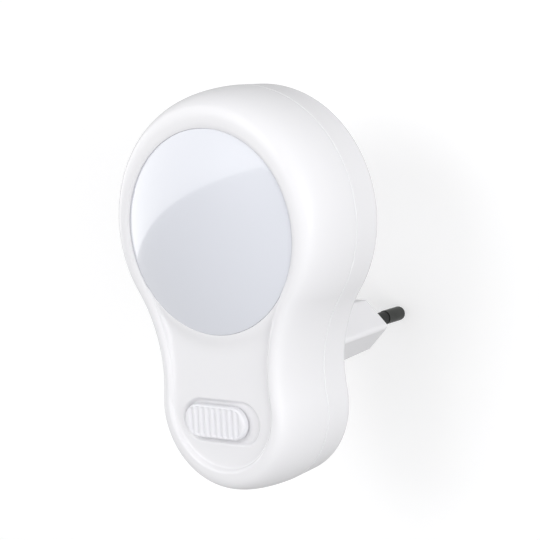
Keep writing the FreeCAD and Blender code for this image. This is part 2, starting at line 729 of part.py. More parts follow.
def makeLens():
    """Opal dome with a straight skirt and a flange behind the panel."""
    body = newBody("lens_dome")
    profile = newSketch(body, "YZ_Plane", "LensProfile", None, None, d.panelTopHeight)
    points = lensProfile()
    lines = []
    for i in range(1, 6):
        lines.append(profile.addGeometry(Part.LineSegment(vector(*points[i]), vector(*points[i + 1]))))
    outer = addCap(profile, points[0], points[1])
    inner = addCap(profile, points[7], points[6])
    axisLine = profile.addGeometry(Part.LineSegment(vector(*points[7]), vector(*points[0])))
    for first, second in zip(lines, lines[1:]):
        hold(profile, "Coincident", first, 2, second, 1)
    for i, line in enumerate(lines):
        holdPoint(profile, line, 1, *points[i + 1])
    holdPoint(profile, lines[-1], 2, *points[6])
    for arc, point, side, line, end in ((outer, points[0], 1, lines[0], 1),
                                        (inner, points[7], 1, lines[-1], 2)):
        hold(profile, "Coincident", arc, side, line, end)
        holdPoint(profile, arc, 2, *point)
        hold(profile, "PointOnObject", arc, 3, -1)
    hold(profile, "Coincident", axisLine, 1, inner, 2)
    hold(profile, "Coincident", axisLine, 2, outer, 2)
    revolve(body, profile, "H_Axis")
    return body


def addCap(sketch, apex, foot):
    """Arc from the foot to the apex, centred on the sketch's horizontal axis."""
    rise = foot[0].value - apex[0].value
    reach = foot[1].value
    radius = (reach ** 2 + rise ** 2) / (2 * rise)
    centre = apex[0].value + radius
    circle = Part.Circle(FreeCAD.Vector(centre, 0, 0), FreeCAD.Vector(0, 0, 1), radius)
    start = math.atan2(foot[1].value, foot[0].value - centre)
    return sketch.addGeometry(Part.ArcOfCircle(circle, start, math.pi))


def makeReflector():
    """White dish between the board and the lens flange, with a hole for each lamp."""
    body = newBody("reflector_dish")
    profile = newSketch(body, "YZ_Plane", "DishProfile", None, None, d.panelTopHeight)
    top = -(innerFace - d.flangeThickness)
    rimBack = top + d.flangeThickness
    outer = d.panelTopRadius - d.lensGap + d.lensFlange
    mouth = d.panelTopRadius - d.lensGap - d.lensWall
    floor = -boardFace
    drawOutline(profile, [
        (floor, zero), (floor - d.dishWall, zero), (floor - d.dishWall, d.dishFloorRadius),
        (top, mouth), (top, outer), (rimBack, outer), (rimBack, mouth + d.dishWall),
        (floor, d.dishFloorRadius + d.dishWall)])
    revolve(body, profile, "H_Axis")
    hole = frontSketch(body, "LampHole", boardFace, None, d.panelTopHeight)
    place = d.ledRing / root(asSize(2))
    drawCircle(hole, place, place, d.ledFlangeDiameter + d.lampGap * 2)
    cut = pocket(body, hole, d.dishWall * 2, forward=True)
    repeatRound(body, [cut], hole)
    return body


def repeatRound(body, features, sketch):
    """Repeats features about the sketch's normal, once for each lamp."""
    pattern = body.newObject("PartDesign::PolarPattern", sketch.Name + "Ring")
    pattern.Originals = features
    pattern.Axis = (sketch, ["N_Axis"])
    pattern.Angle = 360
    pattern.setExpression("Occurrences", "Sizes.ledCount")
    return finish(body, pattern)


def makeBoard():
    """Glass-fibre board with the outline of the housing's inside."""
    body = newBody("circuit_board")
    face = frontSketch(body, "BoardFace", boardFace)
    boardBulb = Bulb(d.boardTopRadius, d.panelTopHeight, d.boardBottomRadius,
                     -d.panelBottomDrop, d.boardWaistRadius)
    drawBulb(face, boardBulb)
    pad(body, face, d.boardThickness, back=True)
    screws = frontSketch(body, "BoardHoles", boardFace)
    drawBoardScrews(screws, d.boardScrewDiameter + d.screwGap * 2)
    pocket(body, screws, d.boardThickness)
    leads = frontSketch(body, "LeadHoles", boardFace, None, d.panelTopHeight)
    drawLeads(leads, d.leadDiameter + d.screwGap * 2)
    cut = pocket(body, leads, d.boardThickness)
    repeatRound(body, [cut], leads)
    return body


def drawLeads(sketch, diameter):
    """Two leads of the first lamp, in a sketch centred on the lens axis."""
    place = d.ledRing / root(asSize(2))
    for side in (-1, 1):
        drawCircle(sketch, place + d.leadSpacing / 2 * side, place, diameter)


def makeLamps():
    """Flat-topped lamps with a flange and two leads each."""
    body = newBody("led_lamps")
    place = d.ledRing / root(asSize(2))
    profile = newSketch(body, "YZ_Plane", "LampProfile", place, None, d.panelTopHeight + place)
    foot = -boardFace
    flange = foot - d.ledFlangeHeight
    top = foot - d.ledHeight
    radius = d.ledDiameter / 2
    drawOutline(profile, [
        (foot, zero), (foot, d.ledFlangeDiameter / 2), (flange, d.ledFlangeDiameter / 2),
        (flange, radius), (top + d.ledEdge, radius), (top, radius - d.ledEdge), (top, zero)])
    lamp = revolve(body, profile, "H_Axis")
    leads = frontSketch(body, "LampLeads", boardFace, None, d.panelTopHeight)
    drawLeads(leads, d.leadDiameter)
    wires = pad(body, leads, d.boardThickness + d.leadStickOut, back=True)
    repeatRound(body, [lamp, wires], leads)
    return body


def makeAxial(name, diameter, length, place, along, count=None, pitch=None, pinched=False):
    """Axial components lying on the back of the board, each a barrel and a bent lead."""
    body = newBody(name)
    alongX = along == "x"
    plane = "XY_Plane" if alongX else "YZ_Plane"
    height = -(boardBack - diameter / 2 - d.axialLift)
    if alongX:
        profile = newSketch(body, plane, "Barrel", place[1], place[0], height)
    else:
        profile = newSketch(body, plane, "Barrel", place[0], height, place[1])
    radius = diameter / 2
    end = length / 2
    shape = [(-end, zero), (-end, radius), (end, radius), (end, zero)]
    if pinched:
        cap = end - length * d.capShare
        neck = cap - length * d.neckShare
        waist = radius * d.waistShare
        shape[2:2] = [(-cap, radius), (-neck, waist), (neck, waist), (cap, radius)]
    if not alongX:
        shape = [(y, x) for x, y in shape]
    drawOutline(profile, shape)
    barrel = revolve(body, profile, "H_Axis" if alongX else "V_Axis", name + "_barrel")
    wire = d.leadDiameter
    reach = end + d.axialLead
    drop = height + boardBack
    lead = newSketch(body, plane, "Lead", place[1] if alongX else place[0],
                     place[0] if alongX else height, height if alongX else place[1])
    for side in (-1, 1):
        bend = [(end * side, -wire / 2), (reach * side, -wire / 2), (reach * side, -drop),
                ((reach + wire) * side, -drop), ((reach + wire) * side, wire / 2),
                (end * side, wire / 2)]
        if not alongX:
            bend = [(y, x) for x, y in bend]
        drawOutline(lead, bend)
    wires = pad(body, lead, wire, middle=True)
    if count is not None:
        row = body.newObject("PartDesign::LinearPattern", name + "_row")
        row.Originals = [barrel, wires]
        row.Direction = (profile, ["N_Axis"])
        row.setExpression("Length", (pitch * (count - 1)).text)
        row.Reversed = place[0].value < 0
        row.Occurrences = count
        finish(body, row)
    return body


def makeFilmCapacitor():
    body = newBody("film_capacitor")
    base = frontSketch(body, "FilmBase", boardBack)
    drawBox(base, zero, d.panelTopHeight - d.filmDrop, d.filmLength, d.filmWidth)
    pad(body, base, d.filmHeight, back=True)
    rear = boardBack - d.filmHeight
    fillet(body, d.filmRound, lambda edge: liesAt(edge, rear) or not liesAt(edge, boardBack),
           "FilmRound")
    return body


def makeElectrolytic():
    """Aluminium can lying on the board, with a crimp groove near its seal."""
    body = newBody("electrolytic_capacitor")
    height = -(boardBack - d.canDiameter / 2)
    profile = newSketch(body, "XY_Plane", "CanProfile", d.panelTopHeight + d.canRise, None, height)
    radius = d.canDiameter / 2
    end = d.canLength / 2
    crimp = end - d.crimpPlace
    shoulder = d.crimpWidth / 2
    bottom = d.crimpWidth / 6
    groove = radius - d.crimpDepth
    drawOutline(profile, [
        (-end, zero), (-end, radius - d.canEdge), (-end + d.canEdge, radius),
        (crimp - shoulder, radius), (crimp - bottom, groove), (crimp + bottom, groove),
        (crimp + shoulder, radius), (end, radius), (end, zero)])
    revolve(body, profile, "H_Axis")
    return body


def makePin(name, side):
    """Turned pin: rounded contact, core under the sleeve, collar and tail."""
    body = newBody(name)
    profile = newSketch(body, "XY_Plane", "PinProfile", None, d.pinSpacing / 2 * side)
    contact, core = d.pinDiameter / 2, d.pinCoreDiameter / 2
    collarFront = -d.stubEndWall
    collarBack = collarFront - d.collarThickness
    tail = collarBack - d.carrierDepth - d.pinTailLength
    shoulder = d.sleeveLength + d.fitGap
    drawOutline(profile, [
        (zero, tail), (core, tail), (core, collarBack), (d.collarDiameter / 2, collarBack),
        (d.collarDiameter / 2, collarFront), (core, collarFront), (core, shoulder),
        (contact, shoulder), (contact, d.pinLength), (zero, d.pinLength)])
    revolve(body, profile, "V_Axis")
    fillet(body, d.pinTipRound, lambda edge: liesAt(edge, -d.pinLength), name + "_tip")
    return body


def makeSleeve(name, side):
    body = newBody(name)
    profile = newSketch(body, "XY_Plane", "SleeveProfile", None, d.pinSpacing / 2 * side)
    inner = d.pinCoreDiameter / 2 + d.fitGap
    outer = d.sleeveDiameter / 2
    back = -d.stubEndWall
    drawOutline(profile, [(inner, back), (outer, back), (outer, d.sleeveLength),
                          (inner, d.sleeveLength)])
    revolve(body, profile, "V_Axis")
    return body


def makeCarrier():
    """Insulating block behind the pin collars, shaped to the inside of the stub."""
    body = newBody("pin_carrier")
    front = d.stubEndWall + d.collarThickness
    outline = frontSketch(body, "CarrierOutline", front)
    drawStub(outline, -(d.stubWall + d.fitGap * 2))
    pad(body, outline, d.carrierDepth)
    holes = frontSketch(body, "CarrierHoles", front)
    for x in (-d.pinSpacing / 2, d.pinSpacing / 2):
        drawCircle(holes, x, zero, d.pinCoreDiameter + d.fitGap * 2)
    pocket(body, holes, d.carrierDepth, forward=True)
    waist = frontSketch(body, "CarrierWindow", front)
    drawStadium(waist, zero, zero, d.pinSpacing / 2, d.stubHeight / 4)
    pocket(body, waist, d.carrierDepth, forward=True)
    return body


def makeContact(name, side):
    """Brass strip from the pin's tail to its foot on the circuit board."""
    body = newBody(name)
    profile = newSketch(body, "XY_Plane", "StripProfile")
    inner = d.pinSpacing / 2 + d.pinCoreDiameter / 2
    outer = inner + d.contactThickness
    start = -(d.stubEndWall + d.collarThickness + d.carrierDepth + d.fitGap * 2)
    end = -boardBack
    toe = outer - d.contactFoot
    sheetFace = end + d.contactThickness
    points = [(inner, start), (outer, start), (outer, end), (toe, end), (toe, sheetFace),
              (inner, sheetFace)]
    drawOutline(profile, [(x * side, y) for x, y in points])
    pad(body, profile, d.contactWidth, middle=True)
    return body


def makeKnob():
    """Slot-shaped knob with upright grooves, and a hollow stem through the panel."""
    body = newBody("switch_knob")
    under = recessFloor + d.knobFloat
    face = panelCrown + d.knobRise
    base = frontSketch(body, "KnobBase", under)
    drawStadium(base, knobRest, switchZ, d.knobWidth, d.knobHeight)
    pad(body, base, face - under)
    fillet(body, d.knobRound, lambda edge: liesAt(edge, face), "KnobRound")
    grooves = frontSketch(body, "KnobGrooves", face)
    endRadius = d.knobHeight / 2 - d.ribBorder
    endCentre = d.knobWidth / 2 - d.knobHeight / 2
    count = int(d.ribGrooves.value)
    for i in range(count):
        step = d.ribPitch * (i - (count - 1) / 2)
        corner = abs(step.value) + d.ribGroove.value / 2
        half = endRadius
        if corner > endCentre.value:
            away = step + d.ribGroove / 2 if step.value > 0 else -step + d.ribGroove / 2
            half = root(endRadius ** 2 - (away - endCentre) ** 2)
        drawBox(grooves, knobRest + step, switchZ, d.ribGroove, half * 2)
    pocket(body, grooves, d.ribDepth)
    stem = frontSketch(body, "KnobStem", under)
    drawBox(stem, knobRest, switchZ, d.stemWidth, d.stemHeight)
    pad(body, stem, under - innerFace + d.stemReach, back=True)
    socket = frontSketch(body, "KnobSocket", innerFace - d.stemReach)
    gap = d.fitGap * 2
    drawBox(socket, knobRest, switchZ, d.leverWidth + gap, d.leverHeight + gap)
    pocket(body, socket, d.stemReach - d.leverInset + d.fitGap * 2, forward=True)
    return body


def makeRetainer():
    """Clip plate on the stem, behind the panel."""
    body = newBody("knob_retainer")
    face = frontSketch(body, "RetainerFace", innerFace - d.retainerGap)
    drawStadium(face, knobRest, switchZ, d.retainerWidth, d.retainerHeight)
    pad(body, face, d.retainerThickness, back=True)
    hole = frontSketch(body, "RetainerHole", innerFace - d.retainerGap)
    gap = d.fitGap * 2
    drawBox(hole, knobRest, switchZ, d.stemWidth + gap, d.stemHeight + gap)
    pocket(body, hole, d.retainerThickness)
    return body


frameTop = boardFace + d.frameDepth
sliderTop = frameTop - d.frameSheet - d.sliderGap
sliderLow = sliderTop - d.sliderThickness


def makeSwitchFrame():
    """Folded metal frame, open towards the board, with a slot for the lever."""
    body = newBody("slide_switch_frame")
    outer = frontSketch(body, "FrameOuter", boardFace)
    drawBox(outer, zero, switchZ, d.frameWidth, d.frameHeight)
    pad(body, outer, d.frameDepth)
    fillet(body, d.frameSheet, lambda edge: liesAt(edge, frameTop), "FrameFold")
    inner = frontSketch(body, "FrameInner", boardFace)
    twice = d.frameSheet * 2
    drawBox(inner, zero, switchZ, d.frameWidth - twice, d.frameHeight - twice)
    pocket(body, inner, d.frameDepth - d.frameSheet, forward=True)
    slot = frontSketch(body, "LeverSlot", frameTop)
    drawBox(slot, zero, switchZ, d.leverWidth + d.slideTravel + d.stemGap * 2,
            d.leverHeight + d.stemGap * 2)
    pocket(body, slot, d.frameSheet)
    return body


def makeSwitchBase():
    body = newBody("slide_switch_base")
    face = frontSketch(body, "BaseFace", boardFace)
    inside = d.frameSheet * 2 + d.fitGap * 2
    drawBox(face, zero, switchZ, d.frameWidth - inside, d.frameHeight - inside)
    pad(body, face, d.baseThickness)
    holes = frontSketch(body, "BaseHoles", boardFace)
    for i in (-1, 0, 1):
        drawBox(holes, d.terminalPitch * i, switchZ, d.terminalWidth + d.fitGap * 2,
                d.contactThickness + d.fitGap * 2)
    pocket(body, holes, d.baseThickness, forward=True)
    return body


def makeTerminals():
    """Three blades through the base, each with a contact button."""
    body = newBody("slide_switch_terminals")
    blades = frontSketch(body, "Blades", boardFace)
    for i in (-1, 0, 1):
        drawBox(blades, d.terminalPitch * i, switchZ, d.terminalWidth, d.contactThickness)
    pad(body, blades, d.baseThickness + d.terminalRise)
    buttons = frontSketch(body, "Buttons", boardFace + d.baseThickness)
    for i in (-1, 0, 1):
        drawCircle(buttons, d.terminalPitch * i, switchZ, d.buttonDiameter)
    pad(body, buttons, d.terminalRise)
    return body


def makeSlider():
    """Moulded slider with the lever that reaches into the knob's stem."""
    body = newBody("slide_switch_lever")
    plate = frontSketch(body, "SliderPlate", sliderLow)
    drawBox(plate, knobRest, switchZ, d.sliderWidth, d.sliderHeight)
    pad(body, plate, d.sliderThickness)
    lever = frontSketch(body, "Lever", sliderTop)
    drawBox(lever, knobRest, switchZ, d.leverWidth, d.leverHeight)
    pad(body, lever, innerFace - d.leverInset - sliderTop)
    return body


def makeWiper():
    """Sprung bridge under the slider that joins two neighbouring terminals."""
    body = newBody("slide_switch_wiper")
    profile = newSketch(body, "XY_Plane", "WiperProfile", switchZ, knobRest)
    top = -sliderLow
    touch = -(boardFace + d.baseThickness + d.terminalRise + d.fitGap)
    outer = d.terminalPitch / 2 + d.wiperFoot / 2
    inner = outer - d.wiperFoot
    thick = d.wiperSheet
    bridge = d.wiperBridge / 2
    right = [(bridge - thick, top + thick), (inner, touch), (outer, touch),
             (outer, touch - thick), (inner + thick, touch - thick), (bridge, top)]
    left = [(-x, y) for x, y in reversed(right)]
    drawOutline(profile, right + left)
    pad(body, profile, d.leverHeight, middle=True)
    return body


def makeScrews(name, drawCircles, seat, headDiameter, headHeight, diameter, length):
    """Round-head screws driven from the back; the seat is under their heads."""
    body = newBody(name)
    heads = frontSketch(body, name + "Heads", seat)
    drawCircles(heads, headDiameter)
    pad(body, heads, headHeight, back=True)
    rear = seat - headHeight
    chamfer(body, headHeight * d.headBevelShare, lambda edge: liesAt(edge, rear), name + "Bevel")
    shanks = frontSketch(body, name + "Shanks", seat)
    drawCircles(shanks, diameter)
    pad(body, shanks, length)
    return body


pieces = [
    makeFrontShell(), makeBackShell(), makeLens(), makeReflector(), makeBoard(), makeLamps(),
    makeFilmCapacitor(), makeElectrolytic(),
    makeAxial("rectifier_diodes", d.diodeDiameter, d.diodeLength,
              (d.axialStart, d.panelTopHeight), "z", 4, d.diodeSpacing),
    makeAxial("series_resistors", d.resistorDiameter, d.resistorLength,
              (-d.axialStart, d.panelTopHeight), "z", 2, d.resistorSpacing, True),
    makeAxial("fuse_resistor", d.fuseDiameter, d.fuseLength, (zero, d.panelTopHeight - d.fuseDrop), "x",
              pinched=True),
    makePin("plug_pin_left", -1), makePin("plug_pin_right", 1),
    makeSleeve("pin_sleeve_left", -1), makeSleeve("pin_sleeve_right", 1),
    makeCarrier(), makeContact("contact_strip_left", -1), makeContact("contact_strip_right", 1),
    makeKnob(), makeRetainer(), makeSlider(), makeWiper(),
    makeSwitchFrame(), makeSwitchBase(), makeTerminals(),
    makeScrews("housing_screws", drawScrewCircles, seam - d.towerFloor, d.screwHeadDiameter,
               d.screwHeadHeight, d.screwDiameter, d.towerFloor + d.tongueHeight + d.screwGrip),
    makeScrews("board_screws", drawBoardScrews, boardBack, d.boardHeadDiameter,
               d.boardHeadHeight, d.boardScrewDiameter,
               d.boardThickness + d.boardScrewGrip - d.screwGap),
]
doc.recompute()

failed = [thing.Name for thing in doc.Objects if "Invalid" in thing.State or "Error" in thing.State]
if failed:
    raise ValueError("failed: " + ", ".join(failed))
os.makedirs("parts", exist_ok=True)
for piece in pieces:
    if piece.Shape.isNull() or not piece.Shape.isValid():
        raise ValueError(piece.Label + " has no valid shape")
    print("%-24s %d solid(s) %9.1f mm3" % (piece.Label, len(piece.Shape.Solids), piece.Shape.Volume))
    piece.Shape.exportStep("parts/%s.step" % piece.Label)
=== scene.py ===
import json
import math

import bpy
import numpy as np
from mathutils import Matrix, Vector

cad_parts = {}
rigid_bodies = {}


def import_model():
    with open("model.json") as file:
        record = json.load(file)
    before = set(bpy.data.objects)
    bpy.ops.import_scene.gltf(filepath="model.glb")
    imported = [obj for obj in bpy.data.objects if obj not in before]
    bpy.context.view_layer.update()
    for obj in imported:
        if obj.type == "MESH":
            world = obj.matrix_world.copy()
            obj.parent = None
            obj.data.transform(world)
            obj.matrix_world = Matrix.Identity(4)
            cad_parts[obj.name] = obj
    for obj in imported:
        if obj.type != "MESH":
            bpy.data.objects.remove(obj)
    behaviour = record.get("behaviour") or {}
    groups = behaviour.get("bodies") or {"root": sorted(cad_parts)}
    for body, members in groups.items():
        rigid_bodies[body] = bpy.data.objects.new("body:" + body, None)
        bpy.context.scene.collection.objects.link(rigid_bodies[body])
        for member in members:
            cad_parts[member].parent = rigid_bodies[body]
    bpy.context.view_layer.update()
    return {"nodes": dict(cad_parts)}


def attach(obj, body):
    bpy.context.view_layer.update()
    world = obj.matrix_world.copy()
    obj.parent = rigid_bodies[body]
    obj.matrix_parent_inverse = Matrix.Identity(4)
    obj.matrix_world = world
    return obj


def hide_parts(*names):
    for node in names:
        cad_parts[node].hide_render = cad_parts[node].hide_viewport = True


for leftover in list(bpy.data.objects):
    bpy.data.objects.remove(leftover)
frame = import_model()
print("frame loaded:", len(frame["nodes"]), "nodes")

# Lengths below are millimetres unless a note says metres. x is to the right, z up,
# and "forward" is the distance in front of the plug's contact face, which is -y.
mm = 0.001
quarter = math.pi / 2
weldGrain = 1e4         # steps per millimetre that keep two points apart


# Meshes

def placed(x, forward, z):
    # three arrays of the same shape, as points
    return np.stack(np.broadcast_arrays(x, -np.asarray(forward, float), z), axis=-1)


def gridFaces(rows, columns, start=0, closed=False):
    # quads between neighbours of a grid whose points are numbered row by row
    spans = columns if closed else columns - 1
    row, column = np.meshgrid(np.arange(rows - 1), np.arange(spans), indexing="ij")
    beside = (column + 1) % columns
    quads = [row * columns + column, row * columns + beside,
             (row + 1) * columns + beside, (row + 1) * columns + column]
    return np.stack(quads, axis=-1).reshape(-1, 4) + start


def welded(points, faces):
    # equal points become one, and the faces follow
    key = np.round(points * weldGrain).astype(np.int64)
    _, first, back = np.unique(key, axis=0, return_index=True, return_inverse=True)
    return first, back.reshape(-1)[faces]


def openEdges(faces):
    # the sides of faces that no other face shares, in the faces' own direction
    ends = np.stack([faces, np.roll(faces, -1, axis=1)], axis=-1).reshape(-1, 2)
    ends = ends[ends[:, 0] != ends[:, 1]]
    _, place, times = np.unique(np.sort(ends, axis=1), axis=0,
                                return_index=True, return_counts=True)
    return ends[place[times == 1]]


def volumeOf(points, faces):
    # six times the volume, from each face's fan of two triangles
    a, b, c, d = (points[faces[:, k]] for k in range(4))
    return np.sum(a * (np.cross(b, c) + np.cross(c, d)))


sharpAngle = math.radians(35)


def makePiece(name, points, faces, material, body, nodes):
    # points in millimetres; a quad that a weld made a triangle keeps three corners
    if volumeOf(points, faces) < 0:
        faces = faces[:, ::-1]
    doubled = faces == np.roll(faces, -1, axis=1)
    whole = ~doubled.any(axis=1)
    slim = [list(dict.fromkeys(face)) for face in faces[~whole].tolist()]
    polygons = faces[whole].tolist() + [face for face in slim if len(face) == 3]
    mesh = bpy.data.meshes.new(name)
    mesh.from_pydata((points * mm).tolist(), [], polygons)
    mesh.validate()
    mesh.polygons.foreach_set("use_smooth", np.ones(len(mesh.polygons), bool))
    mesh.set_sharp_from_angle(angle=sharpAngle)
    mesh.materials.append(material)
    piece = bpy.data.objects.new(name, mesh)
    bpy.context.scene.collection.objects.link(piece)
    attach(piece, body)
    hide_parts(*nodes)
    print("piece", name, len(mesh.polygons), "faces")


# Materials

def addNode(tree, kind, values=None):
    node = tree.nodes.new("ShaderNode" + kind)
    for socket, value in (values or {}).items():
        node.inputs[socket].default_value = value
    return node


finishBase = {"grain": 900, "broadShare": 0.12, "rough": (0.3, 0.36), "bump": 0.05, "depth": 0.0001,
              "tintSpan": (0.35, 0.65), "metal": 0.0, "coat": 0.0, "coatRough": 0.1, "ior": 1.46}


def makeFinish(name, colour, shade, **changes):
    # a colour that drifts to a second shade with a broad noise; a fine one roughens and dents
    look = {**finishBase, **changes}
    material = bpy.data.materials.new(name)
    material.use_nodes = True
    tree = material.node_tree
    tree.nodes.clear()
    output = addNode(tree, "OutputMaterial")
    skin = addNode(tree, "BsdfPrincipled", {"Metallic": look["metal"], "IOR": look["ior"],
                                            "Coat Weight": look["coat"],
                                            "Coat Roughness": look["coatRough"]})
    where = addNode(tree, "TexCoord")
    broad = addNode(tree, "TexNoise", {"Scale": look["grain"] * look["broadShare"], "Detail": 3})
    fine = addNode(tree, "TexNoise", {"Scale": look.get("bumpGrain", look["grain"]), "Detail": 4})
    tint = addNode(tree, "ValToRGB")
    for element, place, tone in zip(tint.color_ramp.elements, look["tintSpan"], (shade, colour)):
        element.position, element.color = place, (*tone, 1)
    gloss = addNode(tree, "MapRange", {"To Min": look["rough"][0], "To Max": look["rough"][1]})
    dent = addNode(tree, "Bump", {"Strength": look["bump"], "Distance": look["depth"]})
    link = tree.links.new
    for noise in (broad, fine):
        link(where.outputs["Object"], noise.inputs["Vector"])
    link(broad.outputs[0], tint.inputs[0])
    link(tint.outputs[0], skin.inputs["Base Color"])
    link(fine.outputs[0], gloss.inputs[0])
    link(gloss.outputs[0], skin.inputs["Roughness"])
    link(fine.outputs[0], dent.inputs["Height"])
    link(dent.outputs[0], skin.inputs["Normal"])
    link(skin.outputs[0], output.inputs["Surface"])
    return material


housingWhite = makeFinish("housingWhite", (0.875, 0.872, 0.888), (0.87, 0.867, 0.884),
                          grain=500, bumpGrain=2600, rough=(0.25, 0.27), bump=0.005)
opalLens = makeFinish("opalLens", (0.70, 0.718, 0.775), (0.69, 0.708, 0.766), grain=220,
                      bumpGrain=700, rough=(0.16, 0.22), bump=0.01, coat=1.0, coatRough=0.05, ior=1.5)
knobWhite = makeFinish("knobWhite", (0.87, 0.87, 0.895), (0.85, 0.85, 0.88),
                       grain=500, bumpGrain=2600, rough=(0.36, 0.46))


# Outline with two lobes

def bulbShape(top, topZ, bottom, bottomZ, waist):
    # the side arc's centre comes from the triangle of the three centres, and the arcs meet
    # where the lines between the centres cross them
    span = topZ - bottomZ
    rise = ((bottom + waist) ** 2 - (top + waist) ** 2 + span ** 2) / (2 * span)
    out = math.sqrt((bottom + waist) ** 2 - rise ** 2)
    waistZ = bottomZ + rise
    topTurn = math.atan2(waistZ - topZ, out)
    bottomTurn = math.atan2(rise, out)
    first = top * (quarter - topTurn)
    second = first + waist * (bottomTurn - topTurn)
    last = second + bottom * (bottomTurn + quarter)
    return {"top": top, "topZ": topZ, "bottom": bottom, "bottomZ": bottomZ, "waist": waist,
            "out": out, "waistZ": waistZ, "topTurn": topTurn, "bottomTurn": bottomTurn,
            "marks": (0, first, second, last)}


def outlineAt(bulb, along):
    # point and outward normal at a length along the outline from its top, positive down the right
    # side and negative down the left: on each arc the turn is the length over the radius
    side = np.where(along < 0, -1.0, 1.0)
    length = np.abs(along)
    _, first, second, _ = bulb["marks"]
    onTop, onBottom = length <= first, length >= second
    turn = np.where(onTop, quarter - length / bulb["top"],
                    np.where(onBottom, bulb["bottomTurn"] - (length - second) / bulb["bottom"],
                             math.pi + bulb["topTurn"] + (length - first) / bulb["waist"]))
    radius = np.where(onTop, bulb["top"], np.where(onBottom, bulb["bottom"], bulb["waist"]))
    onLobe = onTop | onBottom
    centreZ = np.where(onTop, bulb["topZ"], np.where(onBottom, bulb["bottomZ"], bulb["waistZ"]))
    x = np.where(onLobe, 0, bulb["out"]) + radius * np.cos(turn)
    z = centreZ + radius * np.sin(turn)
    facing = np.where(onLobe, 1, -1)
    return (np.stack([side * x, z], axis=-1),
            np.stack([side * facing * np.cos(turn), facing * np.sin(turn)], axis=-1))


def insideBy(bulb, x, z):
    # distance from the outline to a point inside it, from the arc whose sector the point is in
    x = np.abs(x)
    fromTop = bulb["top"] - np.hypot(x, z - bulb["topZ"])
    fromBottom = bulb["bottom"] - np.hypot(x, z - bulb["bottomZ"])
    fromWaist = np.hypot(bulb["out"] - x, bulb["waistZ"] - z) - bulb["waist"]
    onTop = np.arctan2(z - bulb["topZ"], x) > bulb["topTurn"]
    onBottom = np.arctan2(z - bulb["bottomZ"], x) < bulb["bottomTurn"]
    return np.where(onTop, fromTop, np.where(onBottom, fromBottom, fromWaist))


housing = {
    # outlines: top radius and height, bottom radius and height, waist radius
    "seamOutline": (34.34, 34.6, 22.0, -15.0, 35.4),
    "panelOutline": (26.65, 32.6, 16.4, -13.25, 45.9),
    "seam": 35.85,              # forward of the contact face
    "crest": 53.4,
    "seamRound": 0.22,
    "rimSpan": (-8.0, 14.0),    # heights where the rim's roll has its first and its second size
    "rimWidth": (1.0, 1.8),
    "rimDepth": (0.8, 0.5),
    "rollPower": 2.2,
    "innerFace": 4.1,           # behind the crest
    "wall": 2.0,
    "liningPush": 1.3,          # the lining keeps clear of the lens
    "pushReach": 2,
    "holePush": 1.2,
    "holeLap": 0.1,
    "overColumns": 181,
    "seamRows": 5,
    "sectionRows": 43,
    "rollRows": 13,
    "holeRows": 4,
}
seamBulb = bulbShape(*housing["seamOutline"])
panelBulb = bulbShape(*housing["panelOutline"])


# Front shell

def rimDepthAt(z):
    return np.interp(z, housing["rimSpan"], housing["rimDepth"])


panel = {
    "recess": 1.35,             # behind the crest, at the crown
    "crownZ": -16.7,
    "crownRadius": 300.0,
    "lensRadius": 26.64,
    "lensEdgeRound": 0.2,
    "lensStep": 0.15,
    "lensRise": 3.0,
    "fillet": (0.7, 1.0),
    "filletSpan": (-26.0, -6.0),
    "switchX": -0.75,
    "switchZ": -17.0,
    "switchDepth": 1.2,
    "switchSlope": 1.3,
    "switchHalfHeight": 4.8,
    "switchHalfFlat": 6.75,
    "slotZ": -16.7,
    "slotHalf": (5.0, 2.1),
    # the grid's rows at the middle: from, to, how many
    "rows": ((-29.65, -28.25, 11), (-28.25, -23.2, 16), (-23.2, -21.7, 10), (-21.7, -18.8, 8),
             (-18.8, -14.6, 11), (-14.6, -12.3, 8), (-12.3, -10.8, 10), (-10.8, 5.4, 44),
             (5.4, 5.95, 7)),
    "straight": (-23.3, -10.7),
    "outlineSteps": 40001,
    "innerHalf": 12.0,
    "innerMost": 0.93,
    "innerColumns": 49,
    "outerColumns": 17,
    "outerCrowding": 1.6,
    "leastCurve": 1e-7,
}


def eased(share):
    return share ** 2 * (3 - 2 * share)


def panelDepth(x, z):
    # depth behind the crest: the crown's circle, which rises to the lens, a quarter ellipse up to
    # the rim, the switch recess with a smooth slope round a slot, and a rounded edge at the lens
    crown, edgeRound = panel["crownRadius"], panel["lensEdgeRound"]
    depth = panel["recess"] + crown - np.sqrt(crown ** 2 - (z - panel["crownZ"]) ** 2)
    fromLens = np.hypot(x, z - panelBulb["topZ"]) - panel["lensRadius"]
    rise = np.exp(-(np.maximum(fromLens, 0) / panel["lensRise"]) ** 2)
    depth = depth + (housing["rimDepth"][1] + panel["lensStep"] - depth) * rise
    fillet = np.interp(z, panel["filletSpan"], panel["fillet"])
    edge = np.clip(insideBy(panelBulb, x, z) / fillet, 0, 1)
    depth = depth - (depth - rimDepthAt(z)) * (1 - np.sqrt(1 - (1 - edge) ** 2))
    beyond = np.hypot(np.maximum(np.abs(x - panel["switchX"]) - panel["switchHalfFlat"], 0),
                      z - panel["switchZ"]) - panel["switchHalfHeight"]
    slope = np.clip(beyond / panel["switchSlope"], 0, 1)
    depth = depth + panel["switchDepth"] * (1 - eased(slope))
    near = np.clip(fromLens, 0, edgeRound)
    return depth + edgeRound - np.sqrt(edgeRound ** 2 - (edgeRound - near) ** 2)


